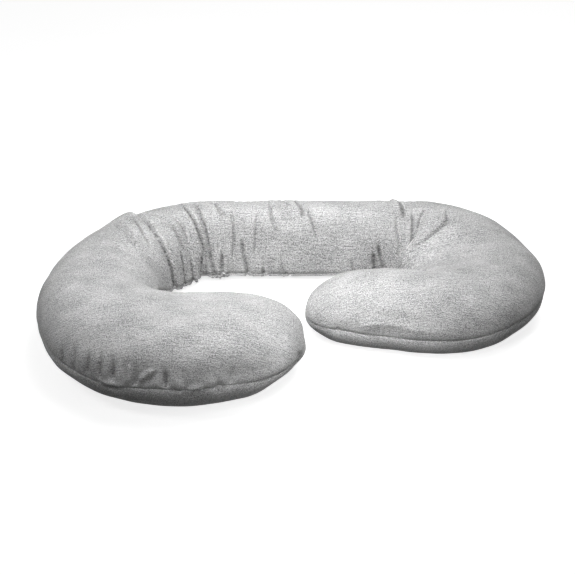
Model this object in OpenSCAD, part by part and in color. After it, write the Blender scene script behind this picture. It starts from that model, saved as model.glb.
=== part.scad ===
// C-shaped nursing pillow: a bead-filled inner case inside a zipped knitted cover.
// Frame: +X to the right, +Y to the back, +Z up, origin at the middle of the underside's box.
// The tube follows a centreline from the left tip, round the back, to the right tip.

/* [Centreline: left side] */
// Length of the nearly straight left tip
left_tip_len = 240; // [225:1:250]
// Clockwise turn of the left tip, degrees
left_tip_turn = 12; // [5:1:16]
// Length of the left arm's bend
left_bend_len = 274; // [272:1:300]
// Clockwise turn of the left arm's bend, degrees
left_bend_turn = 85; // [80:1:87]
// Length of the left shoulder
left_shoulder_len = 489; // [475:1:510]
// Clockwise turn of the left shoulder, degrees
left_shoulder_turn = 105; // [98:1:107]

/* [Centreline: back and right side] */
// Length of the straight back, which holds the zip
back_len = 440; // [430:1:460]
// Length of the right shoulder
right_shoulder_len = 272; // [260:1:285]
// Clockwise turn of the right shoulder, degrees
right_shoulder_turn = 91; // [86:1:94]
// Length of the right arm's bend
right_bend_len = 280; // [272:1:290]
// Clockwise turn of the right arm's bend, degrees
right_bend_turn = 105; // [100:1:107]
// Length of the nearly straight right tip
right_tip_len = 234; // [220:1:240]
// Clockwise turn of the right tip, degrees
right_tip_turn = -5; // [-8:1:3]

/* [Tube half widths] */
// Half width at the left tip, before its rounding
left_tip_w = 114; // [100:1:125]
// Half width where the left tip meets the bend
left_bend_w = 163; // [150:1:168]
// Half width where the left bend meets the shoulder
left_shoulder_w = 128; // [115:1:132]
// Half width of the back
back_w = 78; // [75:1:88]
// Half width where the right shoulder meets the bend
right_shoulder_w = 110; // [100:1:120]
// Half width where the right bend meets the tip
right_bend_w = 101; // [95:1:115]
// Half width at the right tip, before its rounding
right_tip_w = 111; // [100:1:120]

/* [Tube heights] */
// Height at the left tip, before its rounding
left_tip_h = 152; // [145:1:170]
// Height where the left tip meets the bend
left_bend_h = 165; // [155:1:175]
// Height where the left bend meets the shoulder
left_shoulder_h = 171; // [165:1:180]
// Height of the back
back_h = 172; // [162:1:178]
// Height where the right shoulder meets the bend
right_shoulder_h = 156; // [150:1:172]
// Height where the right bend meets the tip
right_bend_h = 157; // [150:1:170]
// Height at the right tip, before its rounding
right_tip_h = 112; // [105:1:140]
// Length over which the left tip rounds off
left_cap = 135; // [115:1:150]
// Length over which the right tip rounds off
right_cap = 135; // [110:1:145]
// Height of the seam as a share of the tube's height
seam_share = 0.42; // [0.38:0.01:0.46]

/* [Cover and inner case] */
// Thickness of the knitted cover
cover_t = 1.2; // [1:0.1:1.5]
// Thickness of the inner case's cloth
case_t = 0.6; // [0.4:0.1:0.8]
// Gap between the cover and the case over the top and the underside
layer_gap = 0.4; // [0.3:0.1:0.6]
// Gap between the outer seam and the case, which gives the zip its room
side_gap = 8.3; // [8.2:0.1:12]
// Half the gap between the two panels, which the seam's thread fills
seam_gap = 1.2; // [1:0.1:1.5]

/* [Zip] */
// Length of the zipped opening
zip_len = 380; // [300:10:390]
// Width of one tape
tape_w = 14; // [12:0.5:14]
// Width of one coil, across the zip
coil_w = 2.2; // [2:0.1:2.4]
// Length of the slider
slider_len = 11; // [10:0.5:12]
// Width of the slider
slider_w = 8.6; // [8.4:0.1:9]
// Length of the pull tab
tab_len = 22; // [18:1:26]
// Width of the pull tab
tab_w = 5.4; // [5:0.2:5.6]

/* [Care label] */
// Width of the blank care label along the seam
label_w = 24; // [18:1:28]
// Drop of the label below the seam
label_drop = 36; // [25:1:45]

/* [Hidden] */

cover_color = [0.74, 0.74, 0.75];
case_color = [0.93, 0.93, 0.91];
bead_color = [0.97, 0.97, 0.96];
thread_color = [0.66, 0.66, 0.67];
tape_color = [0.62, 0.62, 0.63];
coil_color = [0.55, 0.55, 0.56];
metal_color = [0.72, 0.72, 0.73];
label_color = [0.95, 0.95, 0.94];

// The centreline's seven stretches, from the left tip to the right tip
stretch_len = [
    left_tip_len, left_bend_len, left_shoulder_len, back_len,
    right_shoulder_len, right_bend_len, right_tip_len
];
stretch_turn = [
    left_tip_turn, left_bend_turn, left_shoulder_turn, 0,
    right_shoulder_turn, right_bend_turn, right_tip_turn
];
knot_w = [
    left_tip_w, left_bend_w, left_shoulder_w, back_w,
    back_w, right_shoulder_w, right_bend_w, right_tip_w
];
knot_h = [
    left_tip_h, left_bend_h, left_shoulder_h, back_h,
    back_h, right_shoulder_h, right_bend_h, right_tip_h
];

function running_sum(v, i = 0, total = 0) =
    i == len(v) ? [total] : concat([total], running_sum(v, i + 1, total + v[i]));

knot_s = running_sum(stretch_len);
knot_turn = running_sum(stretch_turn);
last_knot = len(knot_s) - 1;
path_len = knot_s[last_knot];
back_mid_s = (knot_s[3] + knot_s[4]) / 2;

// Point reached from p after a clockwise arc that starts at a heading
function chord(length, turn) =
    abs(turn) < 0.01 ? length : length * sin(turn / 2) / (turn * PI / 360);
function arc_end(p, heading, length, turn) =
    p + chord(length, turn) * [cos(heading - turn / 2), sin(heading - turn / 2)];

// Start of each stretch, with the back's start at the origin and its heading along +X
function heading_at_knot(k) = knot_turn[3] - knot_turn[k];
function knot_points(k = 0, p = [0, 0]) =
    k == last_knot
        ? [p]
        : concat(
            [p],
            knot_points(k + 1, arc_end(p, heading_at_knot(k), stretch_len[k], stretch_turn[k]))
        );
free_points = knot_points();
back_mid = (free_points[3] + free_points[4]) / 2;
knot_p = [for (p = free_points) p - back_mid];

function stretch_at(s, k = 0) =
    k < last_knot - 1 && s > knot_s[k + 1] ? stretch_at(s, k + 1) : k;
function share_of(s, k) = (s - knot_s[k]) / stretch_len[k];
function heading_at(s) =
    let (k = stretch_at(s))
    heading_at_knot(k) - stretch_turn[k] * share_of(s, k);
function centre_at(s) =
    let (k = stretch_at(s), part = share_of(s, k))
    arc_end(knot_p[k], heading_at_knot(k), stretch_len[k] * part, stretch_turn[k] * part);

// Smooth value between the knots, with no overshoot
function rate(v, k) = (v[k + 1] - v[k]) / stretch_len[k];
function knot_rate(v, k) =
    k == 0 ? rate(v, 0)
    : k == last_knot ? rate(v, k - 1)
    : rate(v, k - 1) * rate(v, k) <= 0 ? 0
    : 2 * rate(v, k - 1) * rate(v, k) / (rate(v, k - 1) + rate(v, k));
function smooth_value(v, s) =
    let (
        k = stretch_at(s),
        t = share_of(s, k),
        run = stretch_len[k]
    )
    v[k] * (1 + 2 * t) * pow(1 - t, 2)
    + v[k + 1] * t * t * (3 - 2 * t)
    + run * knot_rate(v, k) * t * pow(1 - t, 2)
    - run * knot_rate(v, k + 1) * t * t * (1 - t);

// Round ends: 0 at the tip, 1 where the rounding ends
function rounding(distance, length) =
    sqrt(max(0, 1 - pow(1 - min(1, max(0, distance / length)), 2)));
function end_width(s, side) =
    rounding(s - side, left_cap - side) * rounding(path_len - s - side, right_cap - side);
rise_share = 0.8;
function end_rise(s) =
    rounding(s, rise_share * left_cap) * rounding(path_len - s, rise_share * right_cap);

// A layer is [side, up]: how far it lies inside the cover's outer face at the seam and at the top
cover_out = [0, 0];
cover_in = [cover_t, cover_t];
case_out = [cover_t + side_gap, cover_t + layer_gap];
case_in = case_out + [case_t, case_t];
bead_out = case_in + [layer_gap, layer_gap];

// Zip: its ends along the centreline, and the panels' edges that open for it
zip_start = back_mid_s - zip_len / 2;
zip_end = back_mid_s + zip_len / 2;
zip_ramp = 10;
zip_edge = 7;
zip_dip = 5;
function zip_part(s) =
    max(0, min(1, 1 + min(s - zip_start, zip_end - s) / zip_ramp));

// The underside's curve reaches the floor before its lowest angle, so that it lies flat
belly = 1.12;
function upper_z(s, phi, up, edge) =
    let (z0 = seam_share * smooth_value(knot_h, s) + edge)
    z0 + ((smooth_value(knot_h, s) - z0) * end_rise(s) - up) * sin(phi);
function lower_z(s, phi, up, edge) =
    let (z0 = seam_share * smooth_value(knot_h, s) - edge)
    max(up, z0 - (belly * z0 * end_rise(s) - up) * sin(phi));

// Angles of one half ring, from the outer seam over to the inner seam
half_ring = [0, 7, 18, 34, 52, 71, 90, 109, 128, 146, 162, 173, 180];
ring_last = len(half_ring) - 1;

function outer_normal(s) = [-sin(heading_at(s)), cos(heading_at(s))];
function panel_point(s, j, layer, half, edge, opens) =
    let (
        phi = half_ring[j],
        at_zip = opens && j == 0 ? zip_part(s) : 0,
        gap = edge + (zip_edge - edge) * at_zip,
        a = (smooth_value(knot_w, s) - layer.x) * end_width(s, layer.x),
        reach = a * cos(phi) - zip_dip * at_zip,
        xy = centre_at(s) + reach * outer_normal(s),
        z = half > 0 ? upper_z(s, phi, layer.y, gap) : lower_z(s, phi, layer.y, gap)
    )
    [xy.x, xy.y, z];
function tip_point(s, half, edge) =
    let (xy = centre_at(s))
    [xy.x, xy.y, seam_share * smooth_value(knot_h, s) + half * edge];

// Rings along the tube: close together where the tips round off and at the zip's ends
cap_rings = 6;
left_rings = 19;
zip_rings = 8;
right_rings = 13;
function cap_distance(i, length) = length * (1 - cos(90 * i / cap_rings));
function spread(from, to, count) = [for (i = [0 : count - 1]) from + (to - from) * i / count];
all_stations = concat(
    [for (i = [1 : cap_rings - 1]) cap_distance(i, left_cap)],
    spread(left_cap, zip_start - zip_ramp, left_rings),
    [zip_start - zip_ramp],
    spread(zip_start, zip_end, zip_rings),
    [zip_end],
    spread(zip_end + zip_ramp, path_len - right_cap, right_rings),
    [for (i = [cap_rings : -1 : 1]) path_len - cap_distance(i, right_cap)]
);
tip_clear = 2;
function stations(side) = [
    for (s = all_stations)
        if (min(s, path_len - s) > side + tip_clear) s
];

// Faces of a surface that starts at point `first`: a tip, the rings of `cols` points, a tip.
// A closed tube's lower half is split along the other diagonal, as the lower panel around it is
function turned(faces, flip) = flip ? [for (f = faces) [f[0], f[2], f[1]]] : faces;
function sheet_faces(first, rings, cols, closed, flip) =
    let (
        cells = closed ? cols : cols - 1,
        far_tip = first + 1 + rings * cols,
        last_ring = far_tip - cols
    )
    turned(concat(
        [for (j = [0 : cells - 1]) [first, first + 1 + j, first + 1 + (j + 1) % cols]],
        [
            for (i = [0 : rings - 2], j = [0 : cells - 1])
                let (
                    row = first + 1 + i * cols,
                    a = row + j,
                    b = row + (j + 1) % cols
                )
                each closed && j >= cols / 2
                    ? [[a, a + cols, b + cols], [a, b + cols, b]]
                    : [[a, a + cols, b], [b, a + cols, b + cols]]
        ],
        [for (j = [0 : cells - 1]) [last_ring + j, far_tip, last_ring + (j + 1) % cols]]
    ), flip);

// One panel: its outer face, its inner face and the edge between them
module panel(outer, inner, half, edge, opens) {
    cols = ring_last + 1;
    kept = stations(inner.x);
    rings = len(kept);
    points = [
        for (layer = [outer, inner])
            each concat(
                [tip_point(layer.x, half, edge)],
                [
                    for (s = kept, j = [0 : ring_last])
                        panel_point(s, j, layer, half, edge, opens)
                ],
                [tip_point(path_len - layer.x, half, edge)]
            )
    ];
    sheet = rings * cols + 2;
    rim = concat(
        [0],
        [for (i = [0 : rings - 1]) 1 + i * cols],
        [sheet - 1],
        [for (i = [rings - 1 : -1 : 0]) (i + 1) * cols]
    );
    rim_faces = [
        for (k = [0 : len(rim) - 1])
            let (a = rim[k], b = rim[(k + 1) % len(rim)])
            each [[a, a + sheet, b], [b, a + sheet, b + sheet]]
    ];
    in_frame()
        polyhedron(
            points = points,
            faces = concat(
                sheet_faces(0, rings, cols, false, half < 0),
                sheet_faces(sheet, rings, cols, false, half > 0),
                turned(rim_faces, half < 0)
            ),
            convexity = 12
        );
}

// A closed tube that fills one layer
module filled_tube(layer) {
    cols = 2 * ring_last;
    kept = stations(layer.x);
    points = concat(
        [tip_point(layer.x, 1, 0)],
        [
            for (s = kept)
                each concat(
                    [for (j = [0 : ring_last - 1]) panel_point(s, j, layer, 1, 0, false)],
                    [for (j = [ring_last : -1 : 1]) panel_point(s, j, layer, -1, 0, false)]
                )
        ],
        [tip_point(path_len - layer.x, 1, 0)]
    );
    in_frame()
        polyhedron(
            points = points,
            faces = sheet_faces(0, len(kept), cols, true, false),
            convexity = 12
        );
}

// A flat ring of thread in a seam, which may leave out the zip
module seam_thread(outer_side, thread_w, thread_h, skips_zip) {
    kept = stations(outer_side + thread_w);
    last = len(kept) - 1;
    zip_gap = skips_zip ? zip_len / 2 + zip_ramp - lap : 0;
    after_zip = [for (s = kept) if (s > back_mid_s + zip_gap) s];
    before_zip = [for (s = kept) if (s <= back_mid_s - zip_gap) s];
    function edge_point(s, j, side) = panel_point(s, j, [side, 0], 1, 0, false);
    function seam_loop(side) = concat(
        [for (s = after_zip) edge_point(s, 0, side)],
        [tip_point(path_len - side, 1, 0)],
        [for (i = [last : -1 : 0]) edge_point(kept[i], ring_last, side)],
        [tip_point(side, 1, 0)],
        [for (s = before_zip) edge_point(s, 0, side)]
    );
    outside = seam_loop(outer_side);
    inside = seam_loop(outer_side + thread_w);
    lift = [0, 0, thread_h / 2];
    count = len(outside);
    points = [
        for (i = [0 : count - 1])
            each [outside[i] - lift, outside[i] + lift, inside[i] + lift, inside[i] - lift]
    ];
    spans = skips_zip ? count - 1 : count;
    walls = [
        for (i = [0 : spans - 1], j = [0 : 3])
            let (
                a = 4 * i + j,
                b = 4 * i + (j + 1) % 4,
                c = 4 * ((i + 1) % count) + j,
                d = 4 * ((i + 1) % count) + (j + 1) % 4
            )
            each [[a, c, b], [b, c, d]]
    ];
    end_first = 4 * (count - 1);
    ends = skips_zip
        ? [
            [0, 1, 2], [0, 2, 3],
            [end_first, end_first + 2, end_first + 1], [end_first, end_first + 3, end_first + 2]
        ]
        : [];
    in_frame()
        polyhedron(points = points, faces = concat(walls, ends), convexity = 12);
}

// The whole pillow's box, from the cover's seam line and the label that stands proud of it
seam_line = [
    for (s = all_stations, j = [0, ring_last]) panel_point(s, j, cover_out, 1, seam_gap, false)
];
label_t = 0.3;
label_stand = 0.4;
label_root = 0.2;
back_y = back_w;
seam_z = seam_share * back_h;
x_low = min([for (p = seam_line) p.x]);
x_high = max([for (p = seam_line) p.x]);
y_low = min([for (p = seam_line) p.y]);
y_high = back_y + label_stand + label_t;
box_mid = [(x_low + x_high) / 2, (y_low + y_high) / 2, 0];
module in_frame() translate(-box_mid) children();

// Seams: the cover's thread lies a little inside the panels' edges, the case's is flush with its
thread_in = 0.4;
thread_w = 0.8;
thread_gap = 0.3;
case_seam_gap = 0.6;

// Depths below the back's outer face, counted inwards, of the zip's layers
tape_face = 6.5;
tape_t = 0.5;
coil_t = 1.6;
coil_slit = 1;
tape_slit = 1.8;
tape_over = 8;
stop_len = 2.4;
top_plate_face = 3.4;
plate_t = 1.2;
flange_t = 1.1;
flange_gap = 0.4;
neck_t = 0.5;
neck_len = 4;
tab_t = 1;
tab_rise = 0.7;
tab_rail = 1.4;
window_len = 8;
arch_w = 1.6;
arch_t = 0.8;
arch_len = 7;
pin_r = 0.4;
pin_gap = 0.4;
arch_rise = 2.2;
inner_plate_t = 1;
plate_gap = 0.3;
stop_proud = 0.2;
end_gap = 1;
bottom_inset = 12;
lap = 0.1;
coil_start = -zip_len / 2 + bottom_inset + stop_len;
coil_end = zip_len / 2 - stop_len;
slider_rest = coil_end - slider_len / 2 - end_gap;

// A block given by its low and high corners as [along X, depth below the face, above the seam]
module zip_block(low, high) {
    in_frame()
        translate([low.x, back_y - high.y, seam_z + low.z])
            cube([high.x - low.x, high.y - low.y, high.z - low.z]);
}

module tape(half) {
    z = half * (tape_slit + tape_w) / 2;
    reach = zip_len / 2 + tape_over;
    zip_block([-reach, tape_face, z - tape_w / 2], [reach, tape_face + tape_t, z + tape_w / 2]);
}

module coil(half) {
    z = half * (coil_slit + coil_w) / 2;
    zip_block(
        [coil_start, tape_face - coil_t, z - coil_w / 2],
        [coil_end, tape_face, z + coil_w / 2]
    );
}

module cover_top_panel() color(cover_color) panel(cover_out, cover_in, 1, seam_gap, true);

module cover_bottom_panel() color(cover_color) panel(cover_out, cover_in, -1, seam_gap, true);

module cover_seam_thread() {
    color(thread_color) seam_thread(thread_in, thread_w, 2 * (seam_gap - thread_gap), true);
}

module case_top_panel() color(case_color) panel(case_out, case_in, 1, case_seam_gap, false);

module case_bottom_panel() color(case_color) panel(case_out, case_in, -1, case_seam_gap, false);

module case_seam_thread() {
    color(thread_color) seam_thread(case_out.x, case_t, 2 * (case_seam_gap - thread_gap), false);
}

module bead_filling() color(bead_color) filled_tube(bead_out);

module zip_upper_tape() color(tape_color) tape(1);

module zip_lower_tape() color(tape_color) tape(-1);

module zip_upper_coil() color(coil_color) coil(1);

module zip_lower_coil() color(coil_color) coil(-1);

// Two metal stops, one crimped at the end of each coil
module zip_top_stops() {
    color(metal_color)
        for (z = [-coil_slit / 2 - coil_w, coil_slit / 2])
            zip_block(
                [coil_end, tape_face - coil_t - stop_proud, z],
                [coil_end + stop_len, tape_face, z + coil_w]
            );
}

// One metal stop across both coils at the other end
module zip_bottom_stop() {
    reach = coil_slit / 2 + coil_w;
    color(metal_color)
        zip_block(
            [coil_start - stop_len, tape_face - coil_t - stop_proud, -reach],
            [coil_start, tape_face, reach]
        );
}

// Slider: two plates joined by a thin neck between the coils, with flanges and a crown arch
module zip_slider() {
    x0 = slider_rest - slider_len / 2;
    x1 = slider_rest + slider_len / 2;
    half_w = slider_w / 2;
    plate_back = top_plate_face + plate_t;
    inner_face = tape_face + tape_t + plate_gap;
    arch_top = top_plate_face - arch_rise;
    color(metal_color)
        union() {
            zip_block([x0, top_plate_face, -half_w], [x1, plate_back, half_w]);
            zip_block([x0, inner_face, -half_w], [x1, inner_face + inner_plate_t, half_w]);
            zip_block(
                [slider_rest - neck_len / 2, plate_back - lap, -neck_t / 2],
                [slider_rest + neck_len / 2, inner_face + lap, neck_t / 2]
            );
            for (z = [-half_w, half_w - flange_t])
                zip_block(
                    [x0, plate_back - lap, z],
                    [x1, tape_face - flange_gap, z + flange_t]
                );
            for (x = [slider_rest - arch_len / 2, slider_rest + arch_len / 2 - arch_t])
                zip_block(
                    [x, arch_top, -arch_w / 2],
                    [x + arch_t, top_plate_face + lap, arch_w / 2]
                );
            zip_block(
                [slider_rest - arch_len / 2, arch_top, -arch_w / 2],
                [slider_rest + arch_len / 2, arch_top + arch_t, arch_w / 2]
            );
        }
}

// Pull tab: a plate with a window for the arch, on a round bar that turns under the arch
module zip_pull_tab() {
    pivot_x = slider_rest + arch_len / 2 - arch_t - pin_r - pin_gap;
    pivot_depth = top_plate_face - tab_rise;
    color(metal_color)
        in_frame()
            translate([pivot_x, back_y - pivot_depth, seam_z])
                union() {
                    translate([0, 0, -tab_w / 2])
                        cylinder(h = tab_w, r = pin_r, $fn = 32);
                    for (z = [-tab_w / 2, tab_w / 2 - tab_rail])
                        translate([0, 0, z])
                            union() {
                                cylinder(h = tab_rail, r = tab_t / 2, $fn = 32);
                                translate([-window_len - lap, -tab_t / 2, 0])
                                    cube([window_len + lap, tab_t, tab_rail]);
                            }
                    translate([-tab_len, -tab_t / 2, -tab_w / 2])
                        cube([tab_len - window_len, tab_t, tab_w]);
                }
}

// Care label: folded tape that leaves the seam and hangs outside the cover
module care_label() {
    x0 = -zip_len / 2 - zip_ramp - label_w;
    hang = label_stand + label_t;
    color(label_color)
        union() {
            zip_block([x0, -hang, -label_t / 2], [x0 + label_w, label_root, label_t / 2]);
            zip_block([x0, -hang, -label_drop], [x0 + label_w, -label_stand, label_t / 2]);
        }
}

cover_top_panel();
cover_bottom_panel();
cover_seam_thread();
case_top_panel();
case_bottom_panel();
case_seam_thread();
bead_filling();
zip_upper_tape();
zip_lower_tape();
zip_upper_coil();
zip_lower_coil();
zip_top_stops();
zip_bottom_stop();
zip_slider();
zip_pull_tab();
care_label();
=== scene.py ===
"""Looks of the C-shaped nursing pillow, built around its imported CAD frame.

The cover is one grid of points round the tube. It is shaped from the tube's own driving sizes,
gets the folds that the bends press into it, and is then relaxed as cloth with a little length to
spare. The two jersey panels are cut from it, and the inner case, the filling and the threads follow
it. The zip's tapes and metal parts are the CAD model's own.
"""

import math

import bpy
import numpy as np
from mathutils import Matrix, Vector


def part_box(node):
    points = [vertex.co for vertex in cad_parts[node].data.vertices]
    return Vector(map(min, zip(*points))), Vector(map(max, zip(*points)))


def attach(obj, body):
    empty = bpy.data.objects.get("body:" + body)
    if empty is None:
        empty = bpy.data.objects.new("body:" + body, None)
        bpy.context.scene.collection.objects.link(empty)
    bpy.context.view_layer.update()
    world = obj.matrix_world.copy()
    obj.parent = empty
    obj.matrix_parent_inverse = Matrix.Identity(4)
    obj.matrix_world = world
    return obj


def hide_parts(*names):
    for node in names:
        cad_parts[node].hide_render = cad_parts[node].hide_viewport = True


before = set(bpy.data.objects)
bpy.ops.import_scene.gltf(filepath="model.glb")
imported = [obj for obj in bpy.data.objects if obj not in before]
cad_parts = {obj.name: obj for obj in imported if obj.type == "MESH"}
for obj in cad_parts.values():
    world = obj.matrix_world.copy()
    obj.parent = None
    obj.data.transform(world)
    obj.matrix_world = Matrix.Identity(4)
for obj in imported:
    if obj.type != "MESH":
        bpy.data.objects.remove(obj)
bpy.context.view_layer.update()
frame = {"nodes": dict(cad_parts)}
MM = 0.001
rng = np.random.default_rng(7)

# ---------------------------------------------------------------- the tube's driving sizes
RUN = np.array([240, 274, 489, 440, 272, 280, 234]) * MM
TURN = np.radians([12, 85, 105, 0, 91, 105, -5])
HALF_W = np.array([114, 163, 128, 78, 78, 110, 101, 111]) * MM
HEIGHT = np.array([152, 165, 171, 172, 172, 156, 157, 112]) * MM
CAP = 135 * MM
RISE_SHARE = 0.8
SEAM_SHARE = 0.42
BELLY = 1.12
BACK_W = HALF_W[3]
TAPE_FACE = 6.5 * MM
ZIP_HALF = 190 * MM
ZIP_RAMP = 10 * MM
ZIP_EDGE = 7 * MM
ZIP_DIP = 5 * MM
SEAM_GAP = 0.2 * MM
COVER_T = 1.2 * MM
CASE_T = 0.5 * MM
# The seam allowances that are turned in inside the cover
ALLOWANCE = 6 * MM
# The cloth: steps of relaxation, waves that start its wrinkles (mm), and spare length round the tube
CLOTH_STEPS = 260
CLOTH_SEED = 0.25
SPARE_ROUND = 0.004

KNOT = np.concatenate([[0], np.cumsum(RUN)])
TOTAL_TURN = np.concatenate([[0], np.cumsum(TURN)])
HEADING = TOTAL_TURN[3] - TOTAL_TURN
LENGTH = KNOT[-1]
BACK_MID = (KNOT[3] + KNOT[4]) / 2

tape_low, tape_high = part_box("zip_upper_tape")
back_mid = np.array([(tape_low.x + tape_high.x) / 2, tape_high.y - (BACK_W - TAPE_FACE)])


def arc_end(start, heading, length, turn):
    half = np.where(np.abs(turn) < 1e-6, 1e-6, turn) / 2
    chord = length * np.sin(half) / half
    way = np.stack([np.cos(heading - half), np.sin(heading - half)], -1)
    return start + np.asarray(chord)[..., None] * way


def knot_points():
    points = [np.zeros(2)]
    for k in range(len(RUN)):
        points.append(arc_end(points[-1], HEADING[k], RUN[k], TURN[k]))
    points = np.array(points)
    return points - (points[3] + points[4]) / 2 + back_mid


KNOT_AT = knot_points()


def stretch_of(s):
    k = np.clip(np.searchsorted(KNOT, s, side="right") - 1, 0, len(RUN) - 1)
    return k, (s - KNOT[k]) / RUN[k]


def centre_at(s):
    k, part = stretch_of(s)
    return arc_end(KNOT_AT[k], HEADING[k], RUN[k] * part, TURN[k] * part)


def heading_at(s):
    k, part = stretch_of(s)
    return HEADING[k] - TURN[k] * part


def smooth_value(v, s):
    rate = np.diff(v) / RUN
    both = np.where(rate[:-1] * rate[1:] <= 0, 0, 2 * rate[:-1] * rate[1:])
    inner = both / np.where(both == 0, 1, rate[:-1] + rate[1:])
    slope = np.concatenate([[rate[0]], inner, [rate[-1]]])
    k, t = stretch_of(s)
    bend = slope[k] * t * (1 - t) ** 2 - slope[k + 1] * t * t * (1 - t)
    return v[k] * (1 + 2 * t) * (1 - t) ** 2 + v[k + 1] * t * t * (3 - 2 * t) + RUN[k] * bend


def rounding(distance, length):
    return np.sqrt(np.maximum(0, 1 - (1 - np.clip(distance / length, 0, 1)) ** 2))


def outward(s):
    heading = heading_at(s)
    return np.stack([-np.sin(heading), np.cos(heading), 0 * heading], -1)


def surface(s, phi, side=0.0, up=0.0):
    """The tube's surface, moved in by side at the seams and by up at the crest.

    phi is 0 at the outer seam, a quarter turn at the crest, a half turn at the inner seam."""
    ends = rounding(s - side, CAP - side) * rounding(LENGTH - s - side, CAP - side)
    reach = (smooth_value(HALF_W, s) - side) * ends
    rise = rounding(s, RISE_SHARE * CAP) * rounding(LENGTH - s, RISE_SHARE * CAP)
    height = smooth_value(HEIGHT, s)
    seam = SEAM_SHARE * height
    wave = np.sin(phi)
    upper = seam + ((height - seam) * rise - up) * wave
    lower = np.maximum(up, seam + (BELLY * seam * rise - up) * wave)
    z = np.where(wave > 0, upper, lower)
    flat = centre_at(s) + outward(s)[..., :2] * (reach * np.cos(phi))[..., None]
    return np.concatenate([flat, z[..., None]], -1)


def smoothstep(x):
    x = np.clip(x, 0, 1)
    return x * x * (3 - 2 * x)


def window(x, low, high, ramp_in, ramp_out):
    return smoothstep((x - low) / ramp_in) * smoothstep((high - x) / ramp_out)


def bell(x, width, power=2):
    return np.exp(-((x / width) ** power))


def angle_from(phi, middle):
    """Degrees from middle, the short way round."""
    return (np.degrees(phi) - middle + 180) % 360 - 180


# ---------------------------------------------------------------- the cover's grid
def stations():
    """Rings along the tube: close together where the cover is creased, wider apart elsewhere.

    Each span has its start and end along the tube (m) and the step between its rings (mm)."""
    cap_rings = 26
    cap = CAP * (1 - np.cos(np.linspace(0, math.pi / 2, cap_rings + 1)))
    spans = [
        (CAP, 0.22, 4.6), (0.22, 0.45, 2.4), (0.45, 0.66, 4.8), (0.66, 0.76, 3.0), (0.76, 1.53, 1.8),
        (1.53, 1.62, 3.0), (1.62, 1.92, 4.8), (1.92, LENGTH - CAP, 3.0),
    ]
    middle = [np.linspace(a, b, round((b - a) / (step * MM)), endpoint=False) for a, b, step in spans]
    return np.concatenate([cap[:-1], *middle, (LENGTH - cap)[::-1]])


TOP_COLS = 104
LOW_COLS = 56
top_phi = np.linspace(0, math.pi, TOP_COLS + 1)
low_phi = np.linspace(math.pi, 2 * math.pi, LOW_COLS + 1)
column_phi = np.concatenate([top_phi, low_phi[1:-1]])
ring_s = stations()
RINGS, COLS = len(ring_s), len(column_phi)
S, PHI = np.meshgrid(ring_s, column_phi, indexing="ij")


def zip_part(s):
    return np.clip(1 + np.minimum(s - (BACK_MID - ZIP_HALF), BACK_MID + ZIP_HALF - s) / ZIP_RAMP, 0, 1)


def grid_normals(points):
    along = np.gradient(points, axis=0)
    wide = np.concatenate([points[:, -1:], points, points[:, :1]], 1)
    round_it = (wide[:, 2:] - wide[:, :-2]) / 2
    normal = np.cross(along, round_it)
    size = np.linalg.norm(normal, axis=-1, keepdims=True)
    normal = normal / np.maximum(size, 1e-12)
    normal[0], normal[-1] = normal[1].mean(0), normal[-2].mean(0)
    middle = points.mean(1, keepdims=True)
    facing = ((points - middle) * normal).sum(-1).mean()
    return normal if facing > 0 else -normal


def waves(points, length, count=28):
    """Smooth noise about 1 high, with waves of about that length."""
    way = rng.normal(size=(count, 3))
    way *= (2 * math.pi / length / np.linalg.norm(way, axis=1) * rng.uniform(0.7, 1.3, count))[:, None]
    phase = rng.uniform(0, 2 * math.pi, count)
    return np.cos(points @ way.T + phase).sum(-1) / math.sqrt(count / 2)


# Where the filling has settled: s from, s to, ramp in, ramp out (m); middle angle, half angle; push (mm).
# s runs along the tube from the left tip. Angles are degrees round it: 0 at the outer seam, 90 at the crest.
SETTLED = [
    # the back: hollow inside, tucked under, and a little fuller at its crest
    (1.00, 1.40, 0.05, 0.05, 222, 85, -9.0),
    (0.90, 1.50, 0.08, 0.08, 158, 62, -13.0),
    (0.86, 1.58, 0.07, 0.07, 222, 40, -21.0),
    (0.912, 0.972, 0.02, 0.025, 184, 32, -9.0),
    (1.005, 1.052, 0.012, 0.03, 182, 26, -8.0),
    (1.385, 1.411, 0.016, 0.006, 78, 46, 5.0),
    (1.08, 1.19, 0.04, 0.04, 75, 50, 2.0),
    # the left arm: its tip lifts off the floor, its front is full, its shoulder peaks at the deep fold
    (0.00, 0.16, 0.06, 0.09, 318, 62, -16.0),
    (-0.20, 0.07, 0.05, 0.05, 20, 90, -7.5),
    (-0.20, 0.17, 0.12, 0.12, 140, 60, -6.0),
    (0.05, 0.25, 0.08, 0.08, 158, 45, -4.5),
    (0.09, 0.38, 0.09, 0.09, 52, 38, 13.0),
    (0.06, 0.36, 0.08, 0.08, 14, 30, -6.5),
    (0.30, 0.62, 0.10, 0.10, 0, 60, -5.0),
    (0.70, 0.812, 0.120, 0.014, 60, 38, 13.0),
    (0.765, 0.811, 0.036, 0.009, 84, 26, 3.5),
    # the right arm
    (1.55, 1.78, 0.09, 0.09, 20, 60, -4.0),
    (1.93, 2.16, 0.07, 0.07, 140, 50, -6.0),
    (2.07, 2.21, 0.05, 0.05, 350, 40, -5.0),
    (2.07, 2.17, 0.05, 0.05, 8, 26, -4.0),
]
# Where the seam runs higher or lower than its usual share: s from, s to, ramp, angle, rise (mm)
SEAM_MOVES = [
    (0.12, 0.37, 0.09, 0, 9.0), (0.62, 1.86, 0.20, 180, -50.0), (1.84, 2.14, 0.09, 0, -6.0)
]
# Where a fold hitches the back's lower inner edge up: s, width, rise (mm)
HITCHES = [
    (0.797, 14, 12.0), (0.936, 14, 7.0), (1.004, 11, 5.0), (1.055, 9, 5.0), (1.105, 8, 3.0), (1.36, 10, 4.0)
]
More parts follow.
